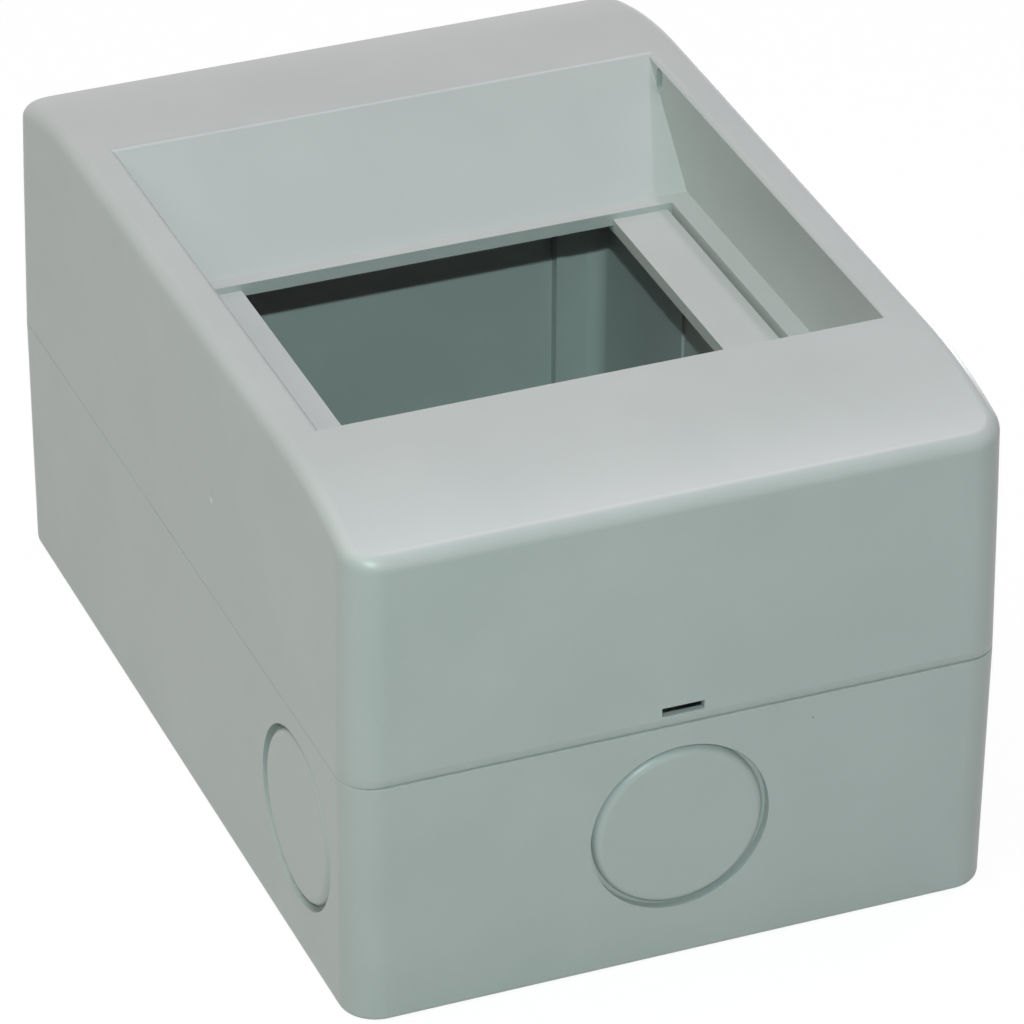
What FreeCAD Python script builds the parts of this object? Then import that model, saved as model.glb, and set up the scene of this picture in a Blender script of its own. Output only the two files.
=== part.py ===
"""Surface-mounting enclosure for modular devices on a 35 mm rail.

A drafted base box and a clip-on front cover meet at a seam half-way up. The cover has a
crowned top, a recess with sloping ends and a stepped floor with a window, through which the
devices on the rail show. Millimetres, +Z up, origin at the centre of the underside.
"""
import FreeCAD, Part
import math
import os

import Sketcher

# Driving dimensions: name, value in millimetres or degrees, meaning
SIZES = [
    ("box_width", 90.0, "outer width at the seam, along X"),
    ("box_depth", 131.0, "outer depth at the seam, along Y"),
    ("base_height", 35.7, "underside of the base to the seam"),
    ("cover_height", 37.2, "seam to the flat of the top"),
    ("wall", 2.5, "wall of both shells"),
    ("floor_thickness", 2.5, "floor of the base"),
    ("draft_angle", 0.6, "mould draft of the outer walls"),
    ("corner_radius", 5.0, "upright outer corners"),
    ("base_edge", 0.8, "bevel round the underside"),
    ("top_edge_radius", 2.3, "outer edge round the top"),
    ("seam_edge", 0.25, "bevel of the cover's lower outer edge"),
    ("relief_height", 1.4, "slant of the cover's front edge at the seam"),
    ("relief_depth", 0.35, "slant of the cover's front edge at the seam"),
    ("crown_flat", 80.5, "depth of the flat stretch of the top"),
    ("crown_radius", 73.0, "fall of the top towards front and back"),
    ("recess_rim", 6.25, "each side of the recess, out to the box's width"),
    ("recess_depth", 78.5, "mouth of the recess, along Y"),
    ("recess_drop", 14.5, "top down to the ledge of the recess"),
    ("recess_slope", 45.0, "front and back walls of the recess"),
    ("recess_edge_radius", 1.0, "edge round the mouth"),
    ("recess_side", 1.3, "side walls of the recess"),
    ("plate", 1.85, "floor of the recess"),
    ("window_width", 53.8, "room for three devices"),
    ("window_depth", 45.4, "nose of a modular device"),
    ("ledge_side", 3.1, "recess side to the outer edge of a strip"),
    ("strip_drop", 0.9, "ledge down to the side strips"),
    ("score_width", 0.7, "grooves where the strips break off"),
    ("score_depth", 1.2, "grooves where the strips break off"),
    ("pivot_width", 2.0, "upright slots for an optional door"),
    ("pivot_length", 3.8, "upright slots for an optional door"),
    ("pivot_inset", 4.3, "mouth's back edge to the pivot slots"),
    ("pivot_drop", 2.45, "top down to the middle of the pivot slots"),
    ("lip_height", 3.0, "locating lip above the seam"),
    ("lip_gap", 0.3, "between the lip and the cover"),
    ("rebate_skin", 1.0, "cover wall outside the lip"),
    ("slot_width", 5.8, "release slot"),
    ("slot_height", 1.3, "release slot"),
    ("slot_rise", 1.75, "seam to the release slot"),
    ("notch_margin", 2.5, "lip cut back beside the release slot"),
    ("knockout_diameter", 24.7, "outer edge of the ring groove"),
    ("knockout_height", 20.1, "underside to the knock-out axis"),
    ("knockout_front", 45.7, "centre line to the side knock-outs, along Y"),
    ("groove_floor", 0.55, "flat at the bottom of the ring groove"),
    ("groove_depth", 1.3, "ring groove, and the reach of its shoulder"),
    ("end_rib_span", 70.5, "between the ribs on the front and back walls"),
    ("side_rib_span", 67.0, "between the ribs on the side walls"),
    ("end_rib_depth", 2.0, "ribs on the front and back walls"),
    ("side_rib_depth", 0.45, "ribs on the side walls"),
    ("rib_width", 1.2, "upright ribs inside the base"),
    ("rib_gap", 0.5, "rib tops below the seam"),
    ("rail_end_gap", 4.5, "each end of the rail to the side wall"),
    ("rail_width", 35.0, "across the flanges"),
    ("rail_channel", 27.0, "across the channel, outside"),
    ("rail_height", 7.5, "mounting rail"),
    ("rail_sheet", 1.0, "sheet of the rail"),
    ("rail_bend", 0.8, "inner radius of the rail's bends"),
    ("rail_slot_width", 6.2, "slots in the rail's web"),
    ("rail_slot_length", 15.0, "slots in the rail's web"),
    ("rail_slot_pitch", 25.0, "slots in the rail's web"),
    ("boss_width", 10.0, "raised pads under the rail"),
    ("boss_depth", 27.0, "raised pads under the rail"),
    ("boss_height", 2.0, "raised pads under the rail"),
    ("screw_diameter", 3.5, "rail screws"),
    ("screw_length", 4.6, "under the head"),
    ("screw_tip", 1.0, "cone at the end"),
    ("screw_head", 7.0, "head diameter"),
    ("screw_head_height", 2.4, "head"),
    ("screw_head_side", 0.9, "straight side of the head"),
    ("screw_head_top", 3.9, "flat top of the head"),
    ("screw_gap", 0.05, "round the shank in its hole"),
    ("screw_cross", 4.0, "span of the cross recess"),
    ("screw_cross_width", 0.9, "arms of the cross recess"),
    ("screw_cross_depth", 1.4, "cross recess"),
    ("pilot_spare", 0.3, "pilot hole below the screw"),
    ("fixing_diameter", 4.5, "wall fixing holes"),
    ("fixing_span_x", 60.0, "between the wall fixing holes"),
    ("fixing_span_y", 100.0, "between the wall fixing holes"),
]

# Places that several features share, worked out from the driving dimensions
HALF_W = "Sizes.box_width / 2"
HALF_D = "Sizes.box_depth / 2"
COVER_LEAN = "tan(Sizes.draft_angle) * Sizes.cover_height"
INNER_HALF_D = f"({HALF_D} - Sizes.wall)"
INNER_HALF_W = f"({HALF_W} - Sizes.wall)"
COVER_HALF_D = f"({INNER_HALF_D} - {COVER_LEAN})"
COVER_HALF_W = f"({INNER_HALF_W} - {COVER_LEAN})"
TOP = "Sizes.cover_height"
LEDGE = "(Sizes.cover_height - Sizes.recess_drop)"
STRIP = f"({LEDGE} - Sizes.strip_drop)"
HALF_RECESS_W = f"({HALF_W} - Sizes.recess_rim)"
HALF_RECESS_D = "Sizes.recess_depth / 2"
HALF_WINDOW_W = "Sizes.window_width / 2"
HALF_WINDOW_D = "Sizes.window_depth / 2"
HALF_STRIPS = f"({HALF_RECESS_W} - Sizes.ledge_side)"
RAIL_SEAT = "(Sizes.floor_thickness + Sizes.boss_height)"
SHOULDER_TURNS = ("60 deg", "30 deg")    # corners of the knock-outs' shoulder
SPARE = 1.0          # how far a cut runs past the surface it opens
NEAR = 0.05          # how close an edge lies to the place it is picked by

doc = FreeCAD.newDocument("rail_enclosure")
sheet = doc.addObject("Spreadsheet::Sheet", "Sizes")
for row, (alias, size, meaning) in enumerate(SIZES, start=1):
    sheet.set(f"A{row}", meaning)
    sheet.set(f"B{row}", str(size))
    sheet.setAlias(f"B{row}", alias)
doc.recompute()


def value(expression):
    """Number that an expression on the sheet gives now."""
    result = sheet.evalExpression(str(expression))
    return float(getattr(result, "Value", result))


def bind(feature, **expressions):
    """Bind a feature's properties to expressions on the sheet."""
    for name, expression in expressions.items():
        feature.setExpression(name, str(expression))


def new_body(label, x="0", y="0", z="0"):
    """Sub-part with its own placement, bound to the sheet."""
    body = doc.addObject("PartDesign::Body", label)
    body.Label = label
    for axis, expression in (("x", x), ("y", y), ("z", z)):
        body.setExpression(f"Placement.Base.{axis}", str(expression))
    doc.recompute()
    return body


def plane_of(body, role):
    """One of the body's own origin planes or axes."""
    return next(item for item in body.Origin.OriginFeatures if item.Role == role)


def new_sketch(body, name, role, offset="0"):
    """Sketch on an origin plane, moved along the plane's normal."""
    sketch = body.newObject("Sketcher::SketchObject", name)
    sketch.AttachmentSupport = [(plane_of(body, role), "")]
    sketch.MapMode = "FlatFace"
    sketch.setExpression("AttachmentOffset.Base.z", str(offset))
    return sketch


def hold(sketch, kind, where, expression):
    """Dimension in a sketch, bound to an expression."""
    constraint = Sketcher.Constraint(kind, *where, value(expression))
    index = sketch.addConstraint(constraint)
    sketch.setExpression(f"Constraints[{index}]", str(expression))


def hold_point(sketch, geometry, point, across, up):
    """Fix a point of a sketch by its distances from the origin."""
    hold(sketch, "DistanceX", (-1, 1, geometry, point), across)
    hold(sketch, "DistanceY", (-1, 1, geometry, point), up)


def at(across, up):
    """Sketch point given by two expressions."""
    return FreeCAD.Vector(value(across), value(up), 0)


def add_outline(sketch, corners):
    """Closed outline of straight lines through the corners."""
    points = [at(*corner) for corner in corners]
    first = sketch.GeometryCount
    count = len(points)
    for index in range(count):
        line = Part.LineSegment(points[index], points[(index + 1) % count])
        sketch.addGeometry(line, False)
    for index, corner in enumerate(corners):
        following = first + (index + 1) % count
        sketch.addConstraint(Sketcher.Constraint("Coincident", first + index, 2, following, 1))
        hold_point(sketch, first + index, 1, *corner)


def add_rectangle(sketch, left, right, low, high):
    """Rectangle between two expressions along each axis."""
    add_outline(sketch, [(left, low), (right, low), (right, high), (left, high)])


def add_circle(sketch, across, up, radius):
    """Circle with its centre and radius bound to expressions."""
    circle = Part.Circle(at(across, up), FreeCAD.Vector(0, 0, 1), value(radius))
    index = sketch.addGeometry(circle, False)
    hold(sketch, "Radius", (index,), radius)
    hold_point(sketch, index, 3, across, up)


def add_rounded_rectangle(sketch, half_x, half_y, radius):
    """Rectangle about the origin with round corners."""
    reach_x = f"({half_x} - {radius})"
    reach_y = f"({half_y} - {radius})"
    first = sketch.GeometryCount
    quarters = [(1, 1), (-1, 1), (-1, -1), (1, -1)]
    for turn, (side, end) in enumerate(quarters):
        centre = at(f"{side} * {reach_x}", f"{end} * {reach_y}")
        circle = Part.Circle(centre, FreeCAD.Vector(0, 0, 1), value(radius))
        start = turn * math.pi / 2
        sketch.addGeometry(Part.ArcOfCircle(circle, start, start + math.pi / 2), False)
    for turn in range(4):
        arc = sketch.Geometry[first + turn]
        following = sketch.Geometry[first + (turn + 1) % 4]
        sketch.addGeometry(Part.LineSegment(arc.EndPoint, following.StartPoint), False)
    for turn, (side, end) in enumerate(quarters):
        line = first + 4 + turn
        following = first + (turn + 1) % 4
        sketch.addConstraint(Sketcher.Constraint("Tangent", first + turn, 2, line, 1))
        sketch.addConstraint(Sketcher.Constraint("Tangent", line, 2, following, 1))
        hold_point(sketch, first + turn, 3, f"{side} * {reach_x}", f"{end} * {reach_y}")
    hold(sketch, "Radius", (first,), radius)


def add_fall(sketch, radius, end, direction):
    """Arc of the crown: level where the flat stretch ends, falling to the given reach."""
    start = f"{direction} * Sizes.crown_flat / 2"
    centre = at(start, f"{TOP} - Sizes.crown_radius")
    reach = value(end) - centre.x
    lean = math.asin(abs(reach) / value(radius))
    upright = math.pi / 2
    circle = Part.Circle(centre, FreeCAD.Vector(0, 0, 1), value(radius))
    low, high = (upright, upright + lean) if direction < 0 else (upright - lean, upright)
    arc = sketch.addGeometry(Part.ArcOfCircle(circle, low, high), False)
    level_point, end_point = (1, 2) if direction < 0 else (2, 1)
    hold_point(sketch, arc, 3, start, f"{TOP} - Sizes.crown_radius")
    hold(sketch, "Radius", (arc,), radius)
    hold(sketch, "DistanceX", (-1, 1, arc, level_point), start)
    hold(sketch, "DistanceX", (-1, 1, arc, end_point), end)
    return arc, level_point, end_point


def pad(body, sketch, length, symmetric=False, reverse=False):
    """Add the sketch's area as material."""
    feature = body.newObject("PartDesign::Pad", sketch.Name + "_pad")
    feature.Profile = sketch
    feature.SideType = "Symmetric" if symmetric else "One side"
    feature.Reversed = reverse
    bind(feature, Length=length)
    doc.recompute()
    return feature


def cut(body, sketch, length, symmetric=False, reverse=False):
    """Take the sketch's area away, and make sure that it met material."""
    before = body.Shape.Volume
    feature = body.newObject("PartDesign::Pocket", sketch.Name + "_cut")
    feature.Profile = sketch
    feature.SideType = "Symmetric" if symmetric else "One side"
    feature.Reversed = reverse
    bind(feature, Length=length)
    doc.recompute()
    if not feature.Shape.Volume < before:
        raise RuntimeError(f"{feature.Name} cuts nothing")
    return feature


def mirror(body, feature, role):
    """Repeat a feature on the other side of an origin plane."""
    copy = body.newObject("PartDesign::Mirrored", feature.Name + "_mirror")
    copy.Originals = [feature]
    copy.MirrorPlane = (plane_of(body, role), [""])
    body.Tip = copy
    doc.recompute()
    return copy


def treat_edges(body, name, kind, chosen, **sizes):
    """Dress every edge of the body whose sample points all pass a test."""
    base = body.Tip
    names = []
    for index, edge in enumerate(base.Shape.Edges, start=1):
        if all(chosen(point) for point in edge.discretize(5)):
            names.append(f"Edge{index}")
    if not names:
        raise RuntimeError(f"{name} finds no edge")
    feature = body.newObject(f"PartDesign::{kind}", name)
    feature.Base = (base, names)
    bind(feature, **sizes)
    doc.recompute()
    return feature


def round_edges(body, name, radius, chosen):
    """Round the edges that pass a test."""
    return treat_edges(body, name, "Fillet", chosen, Radius=radius)


def bevel_edges(body, name, size, chosen):
    """Bevel the edges that pass a test."""
    return treat_edges(body, name, "Chamfer", chosen, Size=size)


def lean_walls(body, name, half_x, half_y, seam, reverse=False):
    """Give the four upright walls of a box their draft, hinged at the height of the seam."""
    base = body.Tip
    walls = []
    hinge = None
    for index, face in enumerate(base.Shape.Faces, start=1):
        middle = face.CenterOfMass
        normal = face.normalAt(0, 0)
        on_wall = abs(abs(middle.x) - half_x) < NEAR or abs(abs(middle.y) - half_y) < NEAR
        if abs(normal.z) < NEAR and on_wall:
            walls.append(f"Face{index}")
        elif abs(normal.z) > 1 - NEAR and abs(middle.z - seam) < NEAR:
            hinge = f"Face{index}"
    feature = body.newObject("PartDesign::Draft", name)
    feature.Base = (base, walls)
    feature.NeutralPlane = (base, [hinge])
    feature.Reversed = reverse
    bind(feature, Angle="Sizes.draft_angle")
    doc.recompute()
    return feature


def off_outline(point, half_x, half_y, radius):
    """Distance of a point from a rounded rectangle about the origin, inside negative."""
    over_x = abs(point.x) - (half_x - radius)
    over_y = abs(point.y) - (half_y - radius)
    if over_x > 0 and over_y > 0:
        return math.hypot(over_x, over_y) - radius
    return max(over_x, over_y) - radius


def at_corner(half_x, half_y):
    """Test for the upright edges of a box about the origin."""
    def chosen(point):
        return abs(point.x) > half_x - SPARE and abs(point.y) > half_y - SPARE
    return chosen


def build_base():
    """Base box: drafted shell with a lip, knock-outs, rail seats and wall fixings."""
    body = new_body("base_box")
    seam = "Sizes.base_height"
    half_w, half_d = value(HALF_W), value(HALF_D)

    outer = new_sketch(body, "base_outer", "XY_Plane", seam)
    add_rectangle(outer, f"-{HALF_W}", HALF_W, f"-{HALF_D}", HALF_D)
    pad(body, outer, seam, reverse=True)
    lean_walls(body, "base_draft", half_w, half_d, value(seam), reverse=True)
    round_edges(body, "base_corners", "Sizes.corner_radius", at_corner(half_w, half_d))
    bevel_edges(body, "base_bevel", "Sizes.base_edge", lambda point: point.z < NEAR)

    inner = new_sketch(body, "base_inner", "XY_Plane", seam)
    add_rectangle(inner, f"-{INNER_HALF_W}", INNER_HALF_W, f"-{INNER_HALF_D}", INNER_HALF_D)
    cut(body, inner, f"{seam} - Sizes.floor_thickness")
    lean_walls(body, "base_inner_draft", value(INNER_HALF_W), value(INNER_HALF_D), value(seam))
    inside = at_corner(value(INNER_HALF_W), value(INNER_HALF_D))
    round_edges(
        body, "base_inner_corners", "Sizes.corner_radius - Sizes.wall",
        lambda point: inside(point) and abs(point.x) < value(INNER_HALF_W) + NEAR
        and abs(point.y) < value(INNER_HALF_D) + NEAR,
    )

    lip = new_sketch(body, "lip", "XY_Plane", seam)
    inset = "(Sizes.rebate_skin + Sizes.lip_gap)"
    add_rounded_rectangle(lip, f"({HALF_W} - {inset})", f"({HALF_D} - {inset})",
                          f"(Sizes.corner_radius - {inset})")
    add_rounded_rectangle(lip, INNER_HALF_W, INNER_HALF_D, "(Sizes.corner_radius - Sizes.wall)")
    pad(body, lip, "Sizes.lip_height")

    notch = new_sketch(body, "lip_notch", "XY_Plane", f"{seam} + Sizes.lip_height")
    half_notch = "(Sizes.slot_width / 2 + Sizes.notch_margin)"
    add_rectangle(notch, f"-{half_notch}", half_notch, f"-{HALF_D}", f"-{INNER_HALF_D} + {SPARE}")
    cut(body, notch, "Sizes.lip_height")

    add_knockouts(body)
    add_ribs(body)
    add_rail_seats(body)

    fixing = new_sketch(body, "fixing", "XY_Plane", "Sizes.floor_thickness")
    for side in (-1, 1):
        for end in (-1, 1):
            add_circle(fixing, f"{side} * Sizes.fixing_span_x / 2", f"{end} * Sizes.fixing_span_y / 2",
                       "Sizes.fixing_diameter / 2")
    cut(body, fixing, f"Sizes.floor_thickness + {SPARE}")
    return body


def add_ring_groove(body, name, role, offset, half_span):
    """Ring groove of a knock-out: upright outer wall, narrow floor, shoulder turned in three facets.

    The sketch plane cuts the knock-out through its axis, which stands square to the drafted wall.
    """
    sketch = new_sketch(body, name, role, offset)
    rise = "(Sizes.base_height - Sizes.knockout_height)"
    face = f"(tan(Sizes.draft_angle) * {rise} - {half_span})"

    def on_wall(reach, depth):
        across = f"{face} - sin(Sizes.draft_angle) * {reach} + cos(Sizes.draft_angle) * {depth}"
        up = f"Sizes.knockout_height + cos(Sizes.draft_angle) * {reach} + sin(Sizes.draft_angle) * {depth}"
        return across, up

    bottom = "Sizes.groove_depth"
    above = f"(-{SPARE})"
    outer = "(Sizes.knockout_diameter / 2)"
    shoulder = f"({outer} - Sizes.groove_floor)"
    disc = f"({shoulder} - Sizes.groove_depth)"
    corners = [on_wall(disc, "0"), on_wall(disc, above), on_wall(outer, above),
               on_wall(outer, bottom), on_wall(shoulder, bottom)]
    for turn in SHOULDER_TURNS:
        corners.append(on_wall(f"({disc} + sin({turn}) * {bottom})", f"((1 - cos({turn})) * {bottom})"))
    add_outline(sketch, corners)
    ends = on_wall("0", above), on_wall("0", bottom)
    axis = sketch.addGeometry(Part.LineSegment(at(*ends[0]), at(*ends[1])), True)
    hold_point(sketch, axis, 1, *ends[0])
    hold_point(sketch, axis, 2, *ends[1])
    before = body.Shape.Volume
    groove = body.newObject("PartDesign::Groove", name + "_groove")
    groove.Profile = sketch
    groove.ReferenceAxis = (sketch, ["Axis0"])
    groove.Angle = 360
    doc.recompute()
    if not groove.Shape.Volume < before:
        raise RuntimeError(f"{name} cuts nothing")
    return groove


def add_knockouts(body):
    """Cable entries: one in the front wall, one in a side wall, and their mirror images."""
    front = add_ring_groove(body, "front_knockout", "YZ_Plane", "0", HALF_D)
    mirror(body, front, "XZ_Plane")
    side = add_ring_groove(body, "side_knockout", "XZ_Plane", "Sizes.knockout_front", HALF_W)
    mirror(body, side, "YZ_Plane")


def add_ribs(body):
    """Upright ribs on the inner walls, rooted in the walls and the floor."""
    ribs = new_sketch(body, "ribs", "XY_Plane", "Sizes.floor_thickness")
    half_rib = "Sizes.rib_width / 2"
    root = "Sizes.wall / 2"
    lean = "tan(Sizes.draft_angle) * Sizes.base_height"
    for side in (-1, 1):
        for end in (-1, 1):
            middle = f"{side} * Sizes.end_rib_span / 2"
            add_rectangle(ribs, f"{middle} - {half_rib}", f"{middle} + {half_rib}",
                          f"{end} * ({INNER_HALF_D} + {root} - {lean})",
                          f"{end} * ({INNER_HALF_D} - Sizes.end_rib_depth)")
            middle = f"{end} * Sizes.side_rib_span / 2"
            add_rectangle(ribs, f"{side} * ({INNER_HALF_W} + {root} - {lean})",
                          f"{side} * ({INNER_HALF_W} - Sizes.side_rib_depth)",
                          f"{middle} - {half_rib}", f"{middle} + {half_rib}")
    pad(body, ribs, "Sizes.base_height - Sizes.floor_thickness - Sizes.rib_gap")


def add_rail_seats(body):
    """Raised pads under the rail with blind holes for its screws."""
    seats = new_sketch(body, "rail_seats", "XY_Plane", "Sizes.floor_thickness / 2")
    half_y = "Sizes.boss_depth / 2"
    for side in (-1, 1):
        middle = f"{side} * Sizes.rail_slot_pitch"
        add_rectangle(seats, f"{middle} - Sizes.boss_width / 2", f"{middle} + Sizes.boss_width / 2",
                      f"-{half_y}", half_y)
    pad(body, seats, "Sizes.floor_thickness / 2 + Sizes.boss_height")

    pilots = new_sketch(body, "rail_pilots", "XY_Plane", RAIL_SEAT)
    for side in (-1, 1):
        add_circle(pilots, f"{side} * Sizes.rail_slot_pitch", "0",
                   "Sizes.screw_diameter / 2 + Sizes.screw_gap")
    cut(body, pilots, "Sizes.screw_length - Sizes.rail_sheet + Sizes.pilot_spare")


def build_cover():
    """Front cover: crowned shell with the recess, its stepped floor and the window."""
    body = new_body("front_cover", z="Sizes.base_height")
    half_w, half_d = value(HALF_W), value(HALF_D)
    radius = value("Sizes.corner_radius")
    top = value(TOP)

    outer = new_sketch(body, "cover_outer", "XY_Plane")
    add_rectangle(outer, f"-{HALF_W}", HALF_W, f"-{HALF_D}", HALF_D)
    pad(body, outer, TOP)
    lean_walls(body, "cover_draft", half_w, half_d, 0)
    add_crown(body)
    round_edges(body, "cover_corners", "Sizes.corner_radius", at_corner(half_w, half_d))
    band = radius + value(COVER_LEAN)
    round_edges(
        body, "top_edge", "Sizes.top_edge_radius",
        lambda point: point.z > top / 2
        and (abs(point.x) > half_w - band or abs(point.y) > half_d - band),
    )
    hollow_cover(body)
    add_recess(body)
    add_seam(body)
    return body


def add_crown(body):
    """Let the top fall to the front and the back in an arc that starts level."""
    crown = new_sketch(body, "crown", "YZ_Plane")
    end = f"-({HALF_D} + {SPARE})"
    start = "-Sizes.crown_flat / 2"
    above = f"{TOP} + {SPARE}"
    arc, level_point, end_point = add_fall(crown, "Sizes.crown_radius", end, -1)
    foot = crown.Geometry[arc].EndPoint
    rise = crown.addGeometry(Part.LineSegment(foot, at(end, above)), False)
    across = crown.addGeometry(Part.LineSegment(at(end, above), at(start, above)), False)
    back = crown.addGeometry(Part.LineSegment(at(start, above), at(start, TOP)), False)
    for one, one_end, other, other_end in (
        (arc, end_point, rise, 1), (rise, 2, across, 1),
        (across, 2, back, 1), (back, 2, arc, level_point),
    ):
        crown.addConstraint(Sketcher.Constraint("Coincident", one, one_end, other, other_end))
    hold_point(crown, rise, 2, end, above)
    hold_point(crown, across, 2, start, above)
    fall = cut(body, crown, "Sizes.box_width * 2", symmetric=True)
    mirror(body, fall, "XZ_Plane")


def hollow_cover(body):
    """Hollow the cover from below, with a roof that follows the crown."""
    hollow = new_sketch(body, "cover_hollow", "YZ_Plane")
    inner_radius = "(Sizes.crown_radius - Sizes.wall)"
    low = f"-{SPARE}"
    front, front_level, front_end = add_fall(hollow, inner_radius, f"-{COVER_HALF_D}", -1)
    back, back_level, back_end = add_fall(hollow, inner_radius, COVER_HALF_D, 1)
    front_foot = hollow.Geometry[front].EndPoint
    back_foot = hollow.Geometry[back].StartPoint
    roof = hollow.addGeometry(
        Part.LineSegment(hollow.Geometry[front].StartPoint, hollow.Geometry[back].EndPoint), False)
    drop = hollow.addGeometry(Part.LineSegment(back_foot, at(COVER_HALF_D, low)), False)
    mouth = hollow.addGeometry(
        Part.LineSegment(at(COVER_HALF_D, low), at(f"-{COVER_HALF_D}", low)), False)
    rise = hollow.addGeometry(Part.LineSegment(at(f"-{COVER_HALF_D}", low), front_foot), False)
    for one, one_end, other, other_end in (
        (front, front_level, roof, 1), (roof, 2, back, back_level), (back, back_end, drop, 1),
        (drop, 2, mouth, 1), (mouth, 2, rise, 1), (rise, 2, front, front_end),
    ):
        hollow.addConstraint(Sketcher.Constraint("Coincident", one, one_end, other, other_end))
    hold_point(hollow, mouth, 1, COVER_HALF_D, low)
    hold_point(hollow, mouth, 2, f"-{COVER_HALF_D}", low)
    cut(body, hollow, f"2 * {COVER_HALF_W}", symmetric=True)
    inner_w, inner_d = value(COVER_HALF_W), value(COVER_HALF_D)
    round_edges(
        body, "cover_inner_corners", "Sizes.corner_radius - Sizes.wall",
        lambda point: abs(abs(point.x) - inner_w) < NEAR and abs(abs(point.y) - inner_d) < NEAR,
    )


def slope_at(height, offset="0"):
    """Half depth of the recess at a height, moved out by a wall square to the slope."""
    run = f"({TOP} - ({height})) / tan(Sizes.recess_slope)"
    return f"({HALF_RECESS_D} - {run} + {offset} / sin(Sizes.recess_slope))"


def add_trapezoid(sketch, low, high, offset="0"):
    """Side view of the recess between two heights."""
    add_outline(sketch, [
        (f"-{slope_at(low, offset)}", low),
        (slope_at(low, offset), low),
        (slope_at(high, offset), high),
        (f"-{slope_at(high, offset)}", high),
    ])


def add_recess(body):
    """Recess with sloping ends, a ledge, two lower strips that break off, and the window between."""
    tub = new_sketch(body, "recess_tub", "YZ_Plane")
    add_trapezoid(tub, f"({LEDGE} - Sizes.plate)", f"({TOP} - Sizes.wall / 2)", "Sizes.wall")
    pad(body, tub, f"2 * ({HALF_RECESS_W} + Sizes.recess_side)", symmetric=True)

    joggle = new_sketch(body, "strip_joggle", "XY_Plane", f"{STRIP} - Sizes.plate")
    reach_y = f"({HALF_WINDOW_D} + Sizes.plate)"
    for side in (-1, 1):
        add_rectangle(joggle, f"{side} * {HALF_WINDOW_W}", f"{side} * ({HALF_STRIPS} + Sizes.plate)",
                      f"-{reach_y}", reach_y)
    pad(body, joggle, "Sizes.strip_drop + Sizes.plate / 2")

    recess = new_sketch(body, "recess", "YZ_Plane")
    add_trapezoid(recess, LEDGE, f"({TOP} + {SPARE})")
    cut(body, recess, f"2 * {HALF_RECESS_W}", symmetric=True)

    strips = new_sketch(body, "strips", "XZ_Plane")
    inner = f"({HALF_STRIPS} - Sizes.score_width)"
    score = f"({STRIP} - Sizes.score_depth)"
    add_outline(strips, [
        (f"-{HALF_STRIPS}", LEDGE), (f"-{HALF_STRIPS}", score),
        (f"-{inner}", score), (f"-{inner}", STRIP),
        (inner, STRIP), (inner, score),
        (HALF_STRIPS, score), (HALF_STRIPS, LEDGE),
    ])
    cut(body, strips, "Sizes.window_depth", symmetric=True)

    window = new_sketch(body, "window", "XY_Plane", LEDGE)
    add_rectangle(window, f"-{HALF_WINDOW_W}", HALF_WINDOW_W, f"-{HALF_WINDOW_D}", HALF_WINDOW_D)
    cut(body, window, f"Sizes.strip_drop + Sizes.plate + {SPARE}")

    half_w, half_d = value(HALF_RECESS_W), value(HALF_RECESS_D)
    top = value(TOP)

    def at_mouth(point):
        beside = abs(abs(point.x) - half_w) < NEAR and abs(point.y) < half_d + SPARE
        across = abs(abs(point.y) - half_d) < SPARE / 4 and abs(point.x) < half_w + NEAR
        return point.z > top - SPARE / 2 and (beside or across)
    round_edges(body, "recess_edge", "Sizes.recess_edge_radius", at_mouth)

    pivot = new_sketch(body, "pivot", "YZ_Plane", HALF_RECESS_W)
    add_slot(pivot, f"{HALF_RECESS_D} - Sizes.pivot_inset", f"{TOP} - Sizes.pivot_drop",
             "Sizes.pivot_length", "Sizes.pivot_width", upright=True)
    hole = cut(body, pivot, "Sizes.recess_side", reverse=True)
    mirror(body, hole, "YZ_Plane")


def add_seam(body):
    """Rebate that takes the lip of the base, the release slot and the eased lower edges."""
    rebate = new_sketch(body, "rebate", "XY_Plane")
    add_rounded_rectangle(rebate, f"({HALF_W} - Sizes.rebate_skin)", f"({HALF_D} - Sizes.rebate_skin)",
                          "(Sizes.corner_radius - Sizes.rebate_skin)")
    cut(body, rebate, "Sizes.lip_height + Sizes.lip_gap", reverse=True)

    slot = new_sketch(body, "release_slot", "XZ_Plane", f"{HALF_D} + {SPARE}")
    half_slot = "Sizes.slot_width / 2"
    add_rectangle(slot, f"-{half_slot}", half_slot,
                  "Sizes.slot_rise", "Sizes.slot_rise + Sizes.slot_height")
    cut(body, slot, f"Sizes.wall + 2 * {SPARE}")

    half_w, half_d = value(HALF_W), value(HALF_D)
    radius = value("Sizes.corner_radius")
    bevel_edges(
        body, "seam_bevel", "Sizes.seam_edge",
        lambda point: abs(point.z) < NEAR and abs(off_outline(point, half_w, half_d, radius)) < NEAR,
    )

    relief = new_sketch(body, "relief", "YZ_Plane")
    add_outline(relief, [
        (f"-({HALF_D} + {SPARE})", f"-{SPARE}"),
        (f"-({HALF_D} - Sizes.relief_depth)", f"-{SPARE}"),
        (f"-({HALF_D} - Sizes.relief_depth)", "0"),
        (f"-({HALF_D} - tan(Sizes.draft_angle) * Sizes.relief_height)", "Sizes.relief_height"),
        (f"-({HALF_D} + {SPARE})", "Sizes.relief_height"),
    ])
    cut(body, relief, "Sizes.box_width - 2 * Sizes.corner_radius", symmetric=True)


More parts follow.
